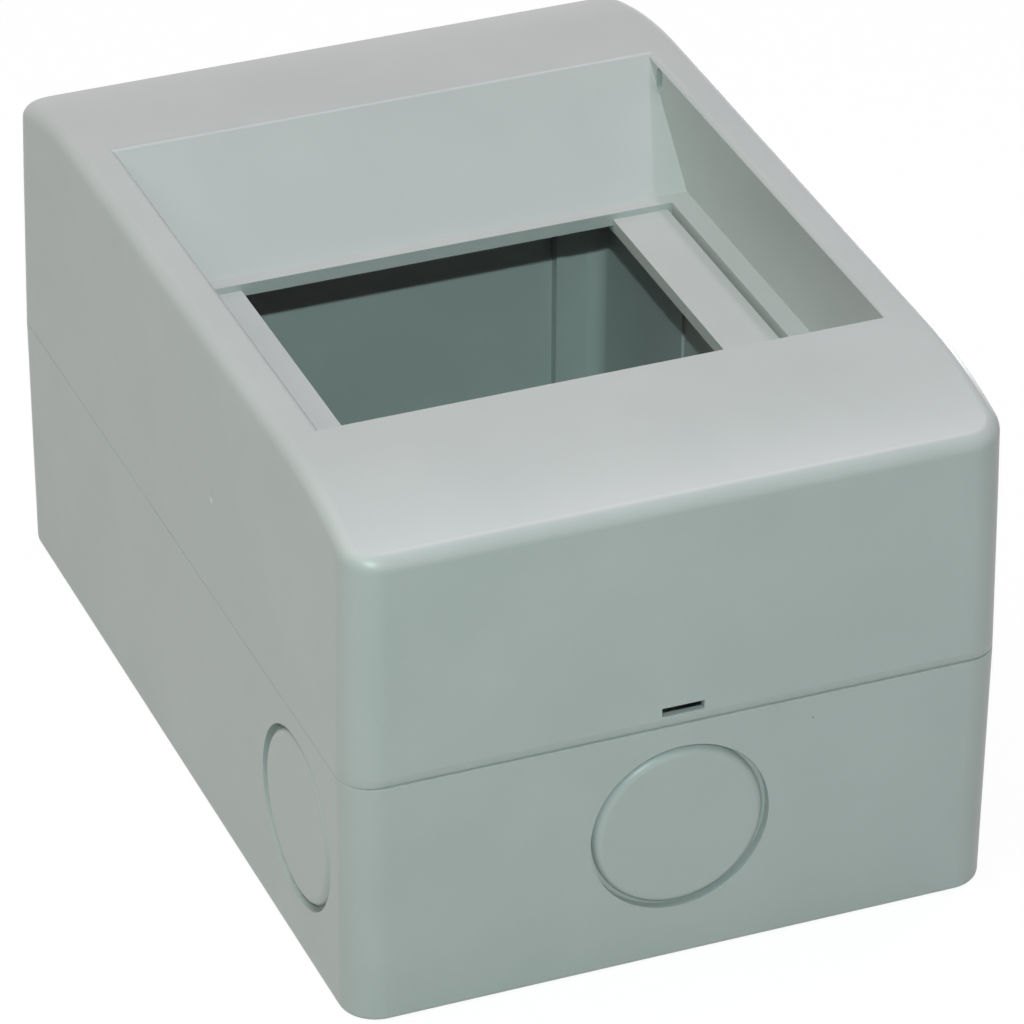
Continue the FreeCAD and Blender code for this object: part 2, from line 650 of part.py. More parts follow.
def build_rail():
    """Top-hat mounting rail, rolled from sheet, with slots in its web."""
    body = new_body("din_rail", z=RAIL_SEAT)
    flange = "Sizes.rail_width / 2"
    outer = "Sizes.rail_channel / 2"
    inner = f"({outer} - Sizes.rail_sheet)"
    high = "Sizes.rail_height"
    sheet_top = "Sizes.rail_sheet"
    under = "(Sizes.rail_height - Sizes.rail_sheet)"

    profile = new_sketch(body, "rail_profile", "YZ_Plane")
    right = [(outer, "0"), (outer, under), (flange, under), (flange, high), (inner, high), (inner, sheet_top)]
    left = [(f"-{across}", up) for across, up in reversed(right)]
    add_outline(profile, right + left)
    pad(body, profile, f"2 * ({INNER_HALF_W} - Sizes.rail_end_gap)", symmetric=True)

    half_outer, half_inner = value(outer), value(inner)
    height, thickness = value(high), value(sheet_top)

    def inside_bend(point):
        low = abs(abs(point.y) - half_inner) < NEAR and abs(point.z - thickness) < NEAR
        up = abs(abs(point.y) - half_outer) < NEAR and abs(point.z - height + thickness) < NEAR
        return low or up

    def outside_bend(point):
        low = abs(abs(point.y) - half_outer) < NEAR and abs(point.z) < NEAR
        up = abs(abs(point.y) - half_inner) < NEAR and abs(point.z - height) < NEAR
        return low or up
    round_edges(body, "inside_bends", "Sizes.rail_bend", inside_bend)
    round_edges(body, "outside_bends", "Sizes.rail_bend + Sizes.rail_sheet", outside_bend)

    slots = new_sketch(body, "rail_slots", "XY_Plane", sheet_top)
    for place in (-1, 0, 1):
        add_slot(slots, f"{place} * Sizes.rail_slot_pitch", "0", "Sizes.rail_slot_length",
                 "Sizes.rail_slot_width")
    cut(body, slots, f"Sizes.rail_sheet + {SPARE}")
    return body


def add_slot(sketch, across, up, length, width, upright=False):
    """Round-ended slot about a point of the sketch, level or upright."""
    radius = f"({width} / 2)"
    reach = f"({length} / 2 - {radius})"
    first = sketch.GeometryCount
    centres = []
    for side in (-1, 1):
        if upright:
            centres.append((across, f"{up} + {side} * {reach}"))
        else:
            centres.append((f"{across} + {side} * {reach}", up))
    for side, centre in zip((-1, 1), centres):
        circle = Part.Circle(at(*centre), FreeCAD.Vector(0, 0, 1), value(radius))
        start = -side * math.pi / 2 + upright * math.pi / 2
        sketch.addGeometry(Part.ArcOfCircle(circle, start, start + math.pi), False)
    one, other = sketch.Geometry[first], sketch.Geometry[first + 1]
    sketch.addGeometry(Part.LineSegment(one.EndPoint, other.StartPoint), False)
    sketch.addGeometry(Part.LineSegment(other.EndPoint, one.StartPoint), False)
    for start, start_end, following, following_end in (
        (0, 2, 2, 1), (2, 2, 1, 1), (1, 2, 3, 1), (3, 2, 0, 1),
    ):
        sketch.addConstraint(
            Sketcher.Constraint("Tangent", first + start, start_end, first + following, following_end))
    hold(sketch, "Radius", (first,), radius)
    for index, centre in enumerate(centres):
        hold_point(sketch, first + index, 3, *centre)


def build_screw(label, side):
    """Pan-head screw with a cross recess, its head seated on the rail's web."""
    body = new_body(label, x=f"{side} * Sizes.rail_slot_pitch", z=f"{RAIL_SEAT} + Sizes.rail_sheet")
    shank = "Sizes.screw_diameter / 2"
    head = "Sizes.screw_head / 2"
    flat_top = "Sizes.screw_head_top / 2"

    profile = new_sketch(body, label + "_profile", "XZ_Plane")
    add_outline(profile, [
        ("0", "-Sizes.screw_length"),
        (shank, "-Sizes.screw_length + Sizes.screw_tip"),
        (shank, "0"),
        (head, "0"),
        (head, "Sizes.screw_head_side"),
        (flat_top, "Sizes.screw_head_height"),
        ("0", "Sizes.screw_head_height"),
    ])
    turned = body.newObject("PartDesign::Revolution", label + "_turned")
    turned.Profile = profile
    turned.ReferenceAxis = (profile, ["V_Axis"])
    turned.Angle = 360
    doc.recompute()

    cross = new_sketch(body, label + "_cross", "XY_Plane", "Sizes.screw_head_height")
    arm = "Sizes.screw_cross / 2"
    half = "Sizes.screw_cross_width / 2"
    corners = []
    for turn_x, turn_y in ((1, 1), (-1, 1), (-1, -1), (1, -1)):
        wide = (f"{turn_x} * {arm}", f"{turn_y} * {half}")
        inner = (f"{turn_x} * {half}", f"{turn_y} * {half}")
        tall = (f"{turn_x} * {half}", f"{turn_y} * {arm}")
        corners += [wide, inner, tall] if turn_x == turn_y else [tall, inner, wide]
    add_outline(cross, corners)
    cut(body, cross, "Sizes.screw_cross_depth")
    return body


pieces = [
    build_base(),
    build_cover(),
    build_rail(),
    build_screw("rail_screw_left", -1),
    build_screw("rail_screw_right", 1),
]
doc.recompute()

for item in doc.Objects:
    if "Invalid" in item.State or "Error" in item.State:
        raise RuntimeError(f"{item.Name} failed: {item.State}")
for piece in pieces:
    if piece.Shape.isNull() or not piece.Shape.isValid() or len(piece.Shape.Solids) != 1:
        raise RuntimeError(f"{piece.Label} is not one sound solid")

os.makedirs("parts", exist_ok=True)
for piece in pieces:
    piece.Shape.exportStep(f"parts/{piece.Label}.step")
    box = piece.Shape.BoundBox
    print(piece.Label, f"{box.XLength:.2f} x {box.YLength:.2f} x {box.ZLength:.2f} mm,",
          f"{piece.Shape.Volume / 1000:.2f} cm3")
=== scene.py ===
# %% [markdown]
# # A rail enclosure in satin grey plastic
#
# This lesson models the two plastic shells of a small wall box as a maker would at the screen, and then
# dresses and lights them like the photograph. The construction model arrives as a fixed frame: every piece
# already has its real size and its place, and nothing here moves it. The shells made below stand in for the
# frame's two plain shells. They have the same walls, with the rolled edges and soft corners that a mould
# leaves.

# %% Load the frame and note its box
import math

import bmesh
import bpy
from mathutils import Matrix, Vector


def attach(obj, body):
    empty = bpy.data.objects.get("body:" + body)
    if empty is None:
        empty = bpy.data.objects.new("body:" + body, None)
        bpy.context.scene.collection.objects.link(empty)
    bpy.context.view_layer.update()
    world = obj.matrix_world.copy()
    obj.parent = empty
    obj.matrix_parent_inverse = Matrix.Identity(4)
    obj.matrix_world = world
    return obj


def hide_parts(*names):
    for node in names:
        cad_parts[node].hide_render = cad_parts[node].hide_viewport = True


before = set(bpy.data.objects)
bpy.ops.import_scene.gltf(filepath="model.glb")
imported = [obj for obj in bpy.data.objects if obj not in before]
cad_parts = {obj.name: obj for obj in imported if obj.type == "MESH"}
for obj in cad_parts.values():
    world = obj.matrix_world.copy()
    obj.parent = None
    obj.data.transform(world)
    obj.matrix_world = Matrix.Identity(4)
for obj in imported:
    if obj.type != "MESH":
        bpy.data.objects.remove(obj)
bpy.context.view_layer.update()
MM = 0.001
print("pieces of the frame:", sorted(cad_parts))

# %% [markdown]
# ## The measures
#
# All sizes are in millimetres, as on a drawing. The underside of the box is height zero, the seam is where
# base and cover meet, and the walls lean in a little on both sides of it, because a moulded wall needs that
# draft to leave its mould.

# %% Sizes of the two shells
HALF_WIDTH = 45.0
HALF_DEPTH = 65.5
SEAM = 35.7
TOP = 72.9
WALL = 2.5
DRAFT = math.tan(math.radians(0.6))
CORNER_RADIUS = 5.0
INNER_RADIUS = CORNER_RADIUS - WALL
CORNER_STEPS = 12
INNER_STEPS = 6

# How far a point may be from a place and still count as there
HAIR = 0.01
NEAR = 0.1
ABOUT = 1.0

# %% [markdown]
# ## A small workbench
#
# Each helper is one thing a hand does at the screen. Blender's operators act on whatever is selected, so a
# helper starts by clearing the selection. A primitive is added at its size and place, and its place then goes
# into its mesh.

# %% Add a block


def activate(piece):
    """Leave edit mode and make one piece the only selected one."""
    if bpy.context.object and bpy.context.object.mode != "OBJECT":
        bpy.ops.object.mode_set(mode="OBJECT")
    bpy.ops.object.select_all(action="DESELECT")
    piece.select_set(True)
    bpy.context.view_layer.objects.active = piece


def add_block(name, low, high):
    """Block between two corners."""
    bpy.ops.object.select_all(action="DESELECT")
    size = [(top - bottom) * MM for bottom, top in zip(low, high)]
    middle = [(top + bottom) / 2 * MM for bottom, top in zip(low, high)]
    bpy.ops.mesh.primitive_cube_add(size=1.0, location=middle, scale=size)
    block = bpy.context.object
    block.name = name
    bpy.ops.object.transform_apply(location=True, rotation=True, scale=True)
    return block


def report(piece):
    """Say what a piece has become."""
    print(piece.name, "has", len(piece.data.polygons), "faces")


# %% [markdown]
# ### Picking by place
#
# By hand one clicks on an edge. A script has no mouse, so a place decides: a helper opens the piece in edit
# mode and selects the vertices, edges or faces whose points all pass a test. Rolling and spreading act on
# that selection.

# %% Pick, roll and spread


def runs_along(edge, axis):
    """True for an edge that runs mainly along one axis: 0, 1 or 2."""
    step = [abs(c) for c in edge.verts[0].co - edge.verts[1].co]
    return step[axis] > sum(step) / 2


def pick(piece, kind, test, axis=None):
    """Open a piece in edit mode and select the vertices, edges or faces whose points all pass a test."""
    activate(piece)
    bpy.ops.object.mode_set(mode="EDIT")
    bpy.ops.mesh.select_mode(type=kind)
    bpy.ops.mesh.select_all(action="DESELECT")
    mesh = bmesh.from_edit_mesh(piece.data)
    if kind == "VERT":
        chosen = [vert for vert in mesh.verts if test(vert.co / MM)]
    else:
        items = mesh.edges if kind == "EDGE" else mesh.faces
        chosen = [item for item in items if all(test(vert.co / MM) for vert in item.verts)]
    if axis is not None:
        chosen = [edge for edge in chosen if runs_along(edge, axis)]
    for item in chosen:
        item.select_set(True)
    bmesh.update_edit_mesh(piece.data)
    return len(chosen)


def roll_edges(piece, test, width, steps, axis=None):
    """Round the edges that pass a test, or those of them that run along an axis."""
    count = pick(piece, "EDGE", test, axis)
    bpy.ops.mesh.bevel(offset=width * MM, segments=steps, profile=0.5, affect="EDGES", clamp_overlap=False)
    bpy.ops.object.mode_set(mode="OBJECT")
    return count


def spread(piece, test, factors, centre):
    """Scale the vertices that pass a test about a point."""
    pick(piece, "VERT", test)
    bpy.ops.transform.resize(value=factors, center_override=[c * MM for c in centre])
    bpy.ops.object.mode_set(mode="OBJECT")


# %% [markdown]
# ## The cover: a drafted block
#
# The cover begins as a solid block with draft and round upright corners. Cutting comes later: as long as the
# block is whole, its edges are easy to find and roll cleanly.

# %% Block with draft and round corners


def lean(height):
    """How far the outer wall stands in from the seam at a height."""
    return DRAFT * abs(height - SEAM)


def at_corner(point):
    """True near the four outer corners of the box."""
    return abs(point.x) > HALF_WIDTH - ABOUT and abs(point.y) > HALF_DEPTH - ABOUT


cover = add_block("cover_shell", (-HALF_WIDTH, -HALF_DEPTH, SEAM), (HALF_WIDTH, HALF_DEPTH, TOP))
spread(
    cover, lambda point: point.z > TOP - ABOUT,
    (1 - lean(TOP) / HALF_WIDTH, 1 - lean(TOP) / HALF_DEPTH, 1), (0, 0, TOP))
roll_edges(cover, at_corner, CORNER_RADIUS, CORNER_STEPS, axis=2)
report(cover)

# %% [markdown]
# ### The rolled rim
#
# All round the top the wall turns over with one radius. A bevel takes the same length off both faces of an
# edge, and for one radius that length depends on how sharply the faces will meet: full at the sides, where
# they stand square, and less at the front and back, where the finished top will slope. So each edge of the
# rim gets a weight from that angle, and one bevel rolls them all.

# %% Roll the rim
BEVEL_WEIGHT = "bevel_weight_edge"
CROWN_START = 40.25
CROWN_RADIUS = 73.0
TOP_EDGE_RADIUS = 2.3
TOP_EDGE_STEPS = 8


def roll_by_share(piece, share_of, width, steps):
    """Round edges with one bevel that takes from each edge its own share of the width."""
    mesh = bmesh.new()
    mesh.from_mesh(piece.data)
    weights = mesh.edges.layers.float.get(BEVEL_WEIGHT) or mesh.edges.layers.float.new(BEVEL_WEIGHT)
    shares = [share_of(edge) for edge in mesh.edges]
    for edge, share in zip(mesh.edges, shares):
        edge[weights] = share
    mesh.to_mesh(piece.data)
    mesh.free()
    activate(piece)
    bpy.ops.object.modifier_add(type="BEVEL")
    roll = piece.modifiers[-1]
    roll.limit_method = "WEIGHT"
    roll.width = width * MM
    roll.segments = steps
    roll.use_clamp_overlap = False
    bpy.ops.object.modifier_apply(modifier=roll.name)
    return sum(share > 0 for share in shares)


def rim_share(edge):
    """Share of the radius that an edge of the top asks for, from its finished angle."""
    if min(vert.co.z for vert in edge.verts) < (TOP - HAIR) * MM:
        return 0.0
    end_slope = math.asin((HALF_DEPTH - CROWN_START) / CROWN_RADIUS)
    wall = min(edge.link_faces, key=lambda face: face.normal.z)
    return math.tan(math.acos(math.sin(end_slope) * abs(wall.normal.y)) / 2)


rim = roll_by_share(cover, rim_share, TOP_EDGE_RADIUS, TOP_EDGE_STEPS)
print("rolled", rim, "edges of the rim")
report(cover)

# %% [markdown]
# ### Pressing the crown
#
# The top is level over the middle and falls to the front and the back in a long arc. The arc starts level, so
# the flat runs into the fall with no line. We shape it as a press would: the top is first cut into narrow
# rows, and then every row of vertices sinks by the depth of the arc at its place. The rolled rim sinks with
# its row, and the walls below stay where they are.

# %% Rows across the top, sunk into an arc
PRESS_FROM = 60.0
ROW_COUNT = 18


def slice_at(piece, point, normal):
    """Saw through a piece along a plane and leave both parts in place."""
    activate(piece)
    bpy.ops.object.mode_set(mode="EDIT")
    bpy.ops.mesh.select_all(action="SELECT")
    bpy.ops.mesh.bisect(plane_co=[c * MM for c in point], plane_no=normal)
    bpy.ops.object.mode_set(mode="OBJECT")


def press_crown(piece, radius, row_end):
    """Cut the top of a block into rows and sink them into an arc at the front and at the back."""
    slice_at(piece, (0, 0, PRESS_FROM), (0, 0, 1))
    for row in range(ROW_COUNT + 1):
        across = CROWN_START + (row_end - CROWN_START) * row / ROW_COUNT
        for end in (-1, 1):
            pick(piece, "FACE", lambda point: point.z > PRESS_FROM - HAIR)
            bpy.ops.mesh.bisect(plane_co=(0, end * across * MM, 0), plane_no=(0, 1, 0))
    activate(piece)
    rows = {}
    for vert in piece.data.vertices:
        if vert.co.z > (PRESS_FROM + ABOUT) * MM and abs(vert.co.y) > CROWN_START * MM:
            rows.setdefault(round(vert.co.y / MM, 4), []).append(vert.index)
    bpy.ops.object.mode_set(mode="EDIT")
    bpy.ops.mesh.select_mode(type="VERT")
    for across, members in rows.items():
        bpy.ops.mesh.select_all(action="DESELECT")
        mesh = bmesh.from_edit_mesh(piece.data)
        mesh.verts.ensure_lookup_table()
        for index in members:
            mesh.verts[index].select_set(True)
        drop = radius - math.sqrt(radius ** 2 - (abs(across) - CROWN_START) ** 2)
        bpy.ops.transform.translate(value=(0, 0, -drop * MM))
    bpy.ops.object.mode_set(mode="OBJECT")
    print("sank", len(rows), "rows of", piece.name)


press_crown(cover, CROWN_RADIUS, HALF_DEPTH - TOP_EDGE_RADIUS)
report(cover)

# %% [markdown]
# ### The edge at the seam
#
# The cover's lower edge is only broken a little, but along the front it slants back, so that a blade finds
# its way to the release slot. On the photograph this slant is the soft dark band above the seam. A saw cut
# marks its height, and the lowest vertices are pushed in: fully along the front, and less and less round the
# corners.

# %% Slanted front edge and broken lower edge
RELIEF_HEIGHT = 1.4
RELIEF_DEPTH = 0.35
SEAM_EDGE = 0.2

slice_at(cover, (0, 0, SEAM + RELIEF_HEIGHT), (0, 0, 1))
front_tangent = HALF_WIDTH - CORNER_RADIUS
pushed = 0
for step in range(CORNER_STEPS + 1):
    turn = math.pi / 2 * step / CORNER_STEPS
    across = front_tangent + CORNER_RADIUS * math.sin(turn)
    share = 1 - math.sin(turn)
    pushed += pick(
        cover, "VERT",
        lambda point: point.z < SEAM + NEAR and point.y < -HALF_DEPTH + CORNER_RADIUS + NEAR
        and abs(abs(point.x) - across) < HAIR)
    bpy.ops.transform.translate(value=(0, RELIEF_DEPTH * share * MM, 0))
    bpy.ops.object.mode_set(mode="OBJECT")
broken = roll_edges(cover, lambda point: point.z < SEAM + NEAR, SEAM_EDGE, steps=2)
print("pushed in", pushed, "vertices, broke", broken, "edges")

# %% [markdown]
# ### Cutting and welding
#
# Two pieces become one with a Boolean modifier, which is applied at once, and the tool is then put away. Most
# tools are upright blocks with round corners. They reach a little past what they cut, so that no film of
# plastic is left.

# %% Cut and weld
SPARE = 1.0


def combine(piece, tool, operation):
    """Cut a piece with a tool, or weld the tool on, and put the tool away."""
    activate(piece)
    bpy.ops.object.modifier_add(type="BOOLEAN")
    work = piece.modifiers[-1]
    work.operation = operation
    work.solver = "EXACT"
    work.object = tool
    bpy.ops.object.modifier_apply(modifier=work.name)
    bpy.data.objects.remove(tool)


def cut(piece, tool):
    """Take the room of a tool out of a piece."""
    combine(piece, tool, "DIFFERENCE")


def weld(piece, tool):
    """Add a tool to a piece."""
    combine(piece, tool, "UNION")


def anywhere(point):
    """True for every point."""
    return True


def add_rounded_block(name, half_x, half_y, low, high, radius, steps=CORNER_STEPS):
    """Upright block about the centre line with round corners."""
    block = add_block(name, (-half_x, -half_y, low), (half_x, half_y, high))
    roll_edges(block, anywhere, radius, steps, axis=2)
    return block


# %% [markdown]
# ### Hollowing the cover
#
# Inside, the cover is a hollow that follows the outside at one wall's distance. The recess then comes back
# into that hollow as a tub, and the tub is cut open from above. Working this way round gives every wall its
# thickness without any thickness having to be guessed. The roof of the hollow is pressed into an arc of its
# own, one wall smaller than the crown above it.

# %% Hollow, tub and recess
RECESS_HALF_WIDTH = 38.75
RECESS_HALF_DEPTH = 39.25
RECESS_SIDE = 1.3
LEDGE = 58.4
PLATE = 1.85
STRIP = 57.5


def slope_reach(height, wall):
    """Half depth of the recess at a height, with a wall measured square to its 45 degree slope."""
    return RECESS_HALF_DEPTH - (TOP - height) + wall * math.sqrt(2.0)


def add_tub(name, half_width, low, high, wall):
    """Block whose front and back slope like the recess."""
    tub = add_block(
        name, (-half_width, -slope_reach(high, wall), low), (half_width, slope_reach(high, wall), high))
    spread(
        tub, lambda point: point.z < low + NEAR,
        (1, slope_reach(low, wall) / slope_reach(high, wall), 1), (0, 0, low))
    return tub


inner_half_width = HALF_WIDTH - WALL - lean(TOP)
inner_half_depth = HALF_DEPTH - WALL - lean(TOP)
hollow = add_rounded_block(
    "hollow", inner_half_width, inner_half_depth, SEAM - SPARE, TOP - WALL, INNER_RADIUS, INNER_STEPS)
press_crown(hollow, CROWN_RADIUS - WALL, inner_half_depth - INNER_RADIUS)
cut(cover, hollow)

tub = add_tub("tub", RECESS_HALF_WIDTH + RECESS_SIDE, LEDGE - PLATE, TOP - WALL / 2, WALL)
weld(cover, tub)
cut(cover, add_tub("recess", RECESS_HALF_WIDTH, LEDGE, TOP + SPARE, 0.0))
report(cover)

# %% [markdown]
# ### The rolled mouth
#
# The mouth of the recess is rolled, because a sharp rim would be the first thing to chip. Here too one radius
# asks for different shares: the side walls stand square to the top, but the two ends meet it at a flat angle
# of 135 degrees, and a bevel of the full width would eat far too much of them.

# %% Roll the mouth
MOUTH_RADIUS = 1.0
END_SHARE = math.tan(math.radians(45.0 / 2))


def mouth_share(edge):
    """Share of the radius for an edge of the mouth, none for any other edge."""
    for vert in edge.verts:
        point = vert.co / MM
        beside = abs(abs(point.x) - RECESS_HALF_WIDTH) < HAIR and abs(point.y) < RECESS_HALF_DEPTH + HAIR
        across = abs(abs(point.y) - RECESS_HALF_DEPTH) < HAIR and abs(point.x) < RECESS_HALF_WIDTH + HAIR
        if abs(point.z - TOP) > HAIR or not (beside or across):
            return 0.0
    return 1.0 if runs_along(edge, 1) else END_SHARE


mouth = roll_by_share(cover, mouth_share, MOUTH_RADIUS, steps=6)
print("rolled", mouth, "edges of the mouth")
report(cover)

# %% [markdown]
# ### The stepped floor and the window
#
# The floor of the recess carries two strips, one on each side of the window. They lie a little lower than the
# ledge, and a narrow score groove runs along their outer sides: whoever needs a wider window breaks the
# strips off there. Below them the floor keeps its thickness. The tool that cuts all this starts as a flat
# bar. Its underside is sawn into five, the middle is pulled down through the floor for the window, and the
# two outer slivers are pulled down a little for the grooves.

# %% Strips, score grooves and window
WINDOW_HALF_WIDTH = 26.9
WINDOW_HALF_DEPTH = 22.7
STRIP_HALF_SPAN = 35.65
SCORE_WIDTH = 0.7
SCORE_DEPTH = 1.2

for side in (-1, 1):
    near, far = sorted((side * WINDOW_HALF_WIDTH, side * (STRIP_HALF_SPAN + PLATE)))
    weld(cover, add_block(
        "joggle", (near, -WINDOW_HALF_DEPTH - PLATE, STRIP - PLATE),
        (far, WINDOW_HALF_DEPTH + PLATE, STRIP - PLATE / 2)))

bar = add_block(
    "bar", (-STRIP_HALF_SPAN, -WINDOW_HALF_DEPTH, STRIP), (STRIP_HALF_SPAN, WINDOW_HALF_DEPTH, LEDGE + SPARE))
score_inner = STRIP_HALF_SPAN - SCORE_WIDTH
for line in (WINDOW_HALF_WIDTH, score_inner):
    for side in (-1, 1):
        slice_at(bar, (side * line, 0, 0), (1, 0, 0))
for test, depth in (
    (lambda point: abs(point.x) < WINDOW_HALF_WIDTH + HAIR, PLATE + 2 * SPARE),
    (lambda point: point.x > score_inner - HAIR, SCORE_DEPTH),
    (lambda point: point.x < -score_inner + HAIR, SCORE_DEPTH),
):
    pick(bar, "FACE", lambda point: abs(point.z - STRIP) < HAIR and test(point))
    bpy.ops.mesh.extrude_region_move(TRANSFORM_OT_translate={"value": (0, 0, -depth * MM)})
    bpy.ops.object.mode_set(mode="OBJECT")
cut(cover, bar)
report(cover)

# %% [markdown]
# ### Rebate and slots
#
# Round its lower edge the cover is rebated, so that it slips over the lip of the base. The release slot goes
# through the thin skin that the rebate leaves. Two upright slots near the top of the recess could take the
# pivots of a door.

# %% Rebate and slots
LIP_HEIGHT = 3.0
LIP_GAP = 0.3
SKIN = 1.0
SLOT_HALF_WIDTH = 2.9
SLOT_LOW = SEAM + 1.75
SLOT_HEIGHT = 1.3
PIVOT_Y = RECESS_HALF_DEPTH - 4.3
PIVOT_Z = TOP - 2.45
PIVOT_HALF_WIDTH = 1.0
PIVOT_HALF_LENGTH = 1.9
PIVOT_ROUND = 0.98
PIVOT_BITE = 0.05

cut(cover, add_rounded_block(
    "rebate", HALF_WIDTH - SKIN, HALF_DEPTH - SKIN, SEAM - SPARE, SEAM + LIP_HEIGHT + LIP_GAP,
    CORNER_RADIUS - SKIN))
cut(cover, add_block(
    "release_slot", (-SLOT_HALF_WIDTH, -HALF_DEPTH - SPARE, SLOT_LOW),
    (SLOT_HALF_WIDTH, -HALF_DEPTH + WALL + SPARE, SLOT_LOW + SLOT_HEIGHT)))
for side in (-1, 1):
    near, far = sorted((
        side * (RECESS_HALF_WIDTH - PIVOT_BITE), side * (RECESS_HALF_WIDTH + RECESS_SIDE + PIVOT_BITE)))
    pivot = add_block(
        "pivot_slot", (near, PIVOT_Y - PIVOT_HALF_WIDTH, PIVOT_Z - PIVOT_HALF_LENGTH),
        (far, PIVOT_Y + PIVOT_HALF_WIDTH, PIVOT_Z + PIVOT_HALF_LENGTH))
    roll_edges(pivot, anywhere, PIVOT_HALF_WIDTH * PIVOT_ROUND, steps=8, axis=0)
    cut(cover, pivot)
report(cover)

# %% [markdown]
# ## The base: a drafted box with a lip
#
# The base is the plainer shell: a box that narrows towards the wall it hangs on, with a lip inside its upper
# edge that holds the cover. The lip is welded on while the base is still solid, and one tool then clears lip
# and inside together, so that no seam is left between them.

# %% Solid base with its lip
BASE_EDGE_RADIUS = 0.8
BASE_SEAM_EDGE = 0.12
LIP_EDGE = 0.25
FLOOR = 2.5
NOTCH_HALF_WIDTH = SLOT_HALF_WIDTH + 2.5
LIP_INSET = SKIN + LIP_GAP

base = add_block("base_shell", (-HALF_WIDTH, -HALF_DEPTH, 0), (HALF_WIDTH, HALF_DEPTH, SEAM))
spread(
    base, lambda point: point.z < NEAR,
    (1 - lean(0) / HALF_WIDTH, 1 - lean(0) / HALF_DEPTH, 1), (0, 0, 0))
roll_edges(base, at_corner, CORNER_RADIUS, CORNER_STEPS, axis=2)
roll_edges(base, lambda point: point.z < NEAR, BASE_EDGE_RADIUS, steps=4)
roll_edges(base, lambda point: point.z > SEAM - NEAR, BASE_SEAM_EDGE, steps=2)

lip = add_rounded_block(
    "lip", HALF_WIDTH - LIP_INSET, HALF_DEPTH - LIP_INSET, SEAM - SPARE, SEAM + LIP_HEIGHT,
    CORNER_RADIUS - LIP_INSET)
roll_edges(lip, lambda point: point.z > SEAM + LIP_HEIGHT - NEAR, LIP_EDGE, steps=2)
cut(lip, add_block(
    "notch", (-NOTCH_HALF_WIDTH, -HALF_DEPTH, SEAM - 2 * SPARE),
    (NOTCH_HALF_WIDTH, -HALF_DEPTH + WALL + SPARE, SEAM + LIP_HEIGHT + SPARE)))
weld(base, lip)

inside = add_rounded_block(
    "inside", HALF_WIDTH - WALL, HALF_DEPTH - WALL, FLOOR, SEAM + LIP_HEIGHT + SPARE, INNER_RADIUS,
    INNER_STEPS)
slice_at(inside, (0, 0, SEAM), (0, 0, 1))
spread(
    inside, lambda point: point.z < FLOOR + NEAR,
    (1 - lean(FLOOR) / (HALF_WIDTH - WALL), 1 - lean(FLOOR) / (HALF_DEPTH - WALL), 1), (0, 0, FLOOR))
cut(base, inside)
report(base)

# %% [markdown]
# ### Knock-outs
#
# A knock-out is a disc held by a thin web: a ring groove weakens the wall, and a tap with a screwdriver frees
# the disc for a cable. The groove is straight on its outer side and rises to the disc in a quarter round. The
# quarter comes from a circle with three quarters deleted. Its upper end is extruded up, out and down again, an
# edge closes the outline, and the outline is spun about the disc's axis. The axis stands square to the leaning
# wall.

# %% Ring grooves
KNOCKOUT_RADIUS = 12.35
KNOCKOUT_HEIGHT = 20.1
KNOCKOUT_FRONT = -45.7
GROOVE_DEPTH = 1.3
GROOVE_FLOOR = 0.55
CIRCLE_STEPS = 64
SPIN_STEPS = 96
SPIN_MERGE = 0.001
DISC_RADIUS = KNOCKOUT_RADIUS - GROOVE_FLOOR - GROOVE_DEPTH


def add_quarter(name):
    """Quarter of a circle as an open line, left in edit mode."""
    bpy.ops.object.select_all(action="DESELECT")
    bpy.ops.mesh.primitive_circle_add(
        vertices=CIRCLE_STEPS, radius=GROOVE_DEPTH * MM, rotation=(math.pi / 2, 0, 0))
    quarter = bpy.context.object
    quarter.name = name
    bpy.ops.object.transform_apply(location=True, rotation=True, scale=True)
    pick(quarter, "VERT", lambda point: point.x < NEAR or point.z < -HAIR)
    bpy.ops.mesh.delete(type="VERT")
    return quarter


def pick_ends(line, only_newest):
    """Select the ends of an open line, or only the newest one, which lies highest and farthest out."""
    bpy.ops.mesh.select_all(action="DESELECT")
    ends = [vert for vert in bmesh.from_edit_mesh(line.data).verts if len(vert.link_edges) == 1]
    newest = max(ends, key=lambda vert: (vert.co.z, vert.co.x))
    for vert in [newest] if only_newest else ends:
        vert.select_set(True)
    bmesh.update_edit_mesh(line.data)
    return newest.co / MM


def add_groove_tool(name, place, outward):
    """Spun ring that cuts a groove into a wall at a place, with the wall's outward direction."""
    tool = add_quarter(name)
    top = pick_ends(tool, only_newest=True)
    for move in (
        (0, 0, GROOVE_DEPTH + SPARE - top.z),
        (GROOVE_DEPTH + GROOVE_FLOOR - top.x, 0, 0),
        (0, 0, -GROOVE_DEPTH - SPARE),
    ):
        pick_ends(tool, only_newest=True)
        bpy.ops.mesh.extrude_vertices_move(TRANSFORM_OT_translate={"value": [c * MM for c in move]})
    pick_ends(tool, only_newest=False)
    bpy.ops.mesh.edge_face_add()
    bpy.ops.mesh.select_all(action="SELECT")
    bpy.ops.transform.translate(value=(DISC_RADIUS * MM, 0, 0))
    bpy.ops.mesh.spin(steps=SPIN_STEPS, angle=2 * math.pi, center=(0, 0, 0), axis=(0, 0, 1))
    bpy.ops.mesh.select_all(action="SELECT")
    bpy.ops.mesh.remove_doubles(threshold=SPIN_MERGE * MM)
    bpy.ops.mesh.normals_make_consistent(inside=False)
    bpy.ops.object.mode_set(mode="OBJECT")
    outward = Vector(outward).normalized()
    tool.rotation_euler = outward.to_track_quat("Z", "Y").to_euler()
    tool.location = (Vector(place) - GROOVE_DEPTH * outward) * MM
    bpy.ops.object.transform_apply(location=True, rotation=True, scale=True)
    return tool


